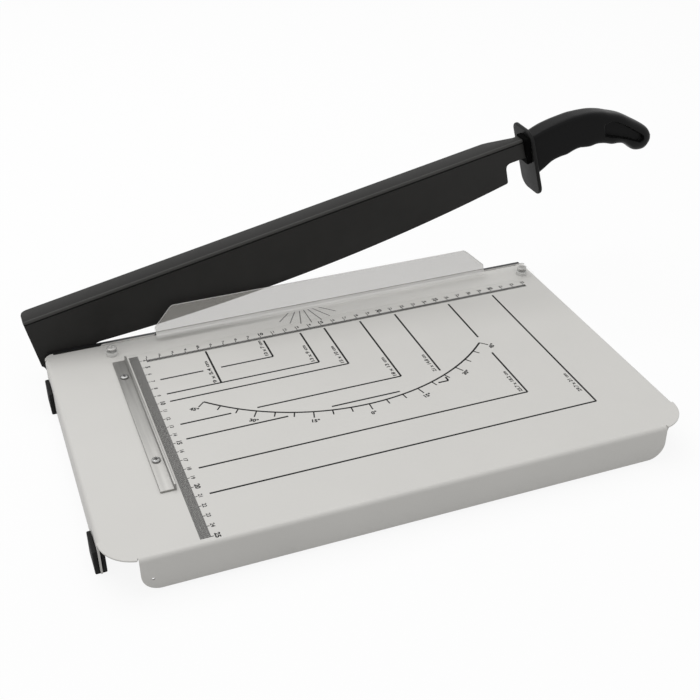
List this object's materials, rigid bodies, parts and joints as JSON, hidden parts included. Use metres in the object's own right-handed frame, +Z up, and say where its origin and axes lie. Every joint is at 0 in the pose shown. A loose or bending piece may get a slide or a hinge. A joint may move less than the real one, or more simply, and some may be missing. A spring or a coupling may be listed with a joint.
{
  "type": "guillotine paper cutter",
  "caption": "Desk guillotine paper cutter: folded steel table with a paper stop and a clear guard, and a black blade arm with a moulded grip that swings on a pivot at the back corner.",
  "frame": {"origin": "middle of the bottom of the whole object's bounding box with the arm raised as pictured, on the desk", "axes": "+X along the cut toward the grip, +Y away from the user toward the arm, +Z up"},
  "size_m": [0.5392, 0.2802, 0.1561],
  "materials": {
    "table_paint": "satin pale grey powder paint on folded steel sheet",
    "black_steel": "satin black paint on steel plate",
    "bright_steel": "zinc-plated steel",
    "stop_aluminium": "satin aluminium extrusion",
    "guard_acrylic": "clear acrylic, slightly milky",
    "foot_rubber": "matt black rubber",
    "spacer_plastic": "plain pale plastic",
    "grip_plastic": "satin black moulded plastic"
  },
  "bodies": {
    "table": {"table_plate": "table_paint", "bed_knife": "black_steel", "knife_screw_1": "bright_steel", "knife_screw_2": "bright_steel", "knife_screw_3": "bright_steel", "knife_screw_4": "bright_steel", "knife_screw_5": "bright_steel", "foot_front_left": "foot_rubber", "foot_front_right": "foot_rubber", "foot_back_left": "foot_rubber", "foot_back_right": "foot_rubber", "paper_stop": "stop_aluminium", "stop_screw_1": "bright_steel", "stop_nut_1": "bright_steel", "stop_screw_2": "bright_steel", "stop_nut_2": "bright_steel", "blade_guard": "guard_acrylic", "guard_screw_left": "bright_steel", "guard_spacer_left": "spacer_plastic", "guard_nut_left": "bright_steel", "guard_screw_right": "bright_steel", "guard_spacer_right": "spacer_plastic", "guard_nut_right": "bright_steel", "pivot_bracket": "black_steel", "bracket_screw_1": "bright_steel", "bracket_screw_2": "bright_steel", "pivot_washer": "bright_steel", "pivot_bolt": "bright_steel", "spring_disc_1": "bright_steel", "spring_disc_2": "bright_steel", "pivot_nut": "bright_steel"},
    "arm": {"cutting_arm": "black_steel", "hilt_plate": "grip_plastic", "tang_sleeve": "foot_rubber", "grip_body": "grip_plastic", "grip_screw_1": "bright_steel", "grip_screw_2": "bright_steel"}
  },
  "joints": [
    {"name": "arm_swing", "type": "hinge", "parent": "table", "child": "arm", "pos_m": [-0.24399, 0.115, 0.0163], "axis": [0, -1, 0], "range_deg": [-12, 40]}
  ]
}
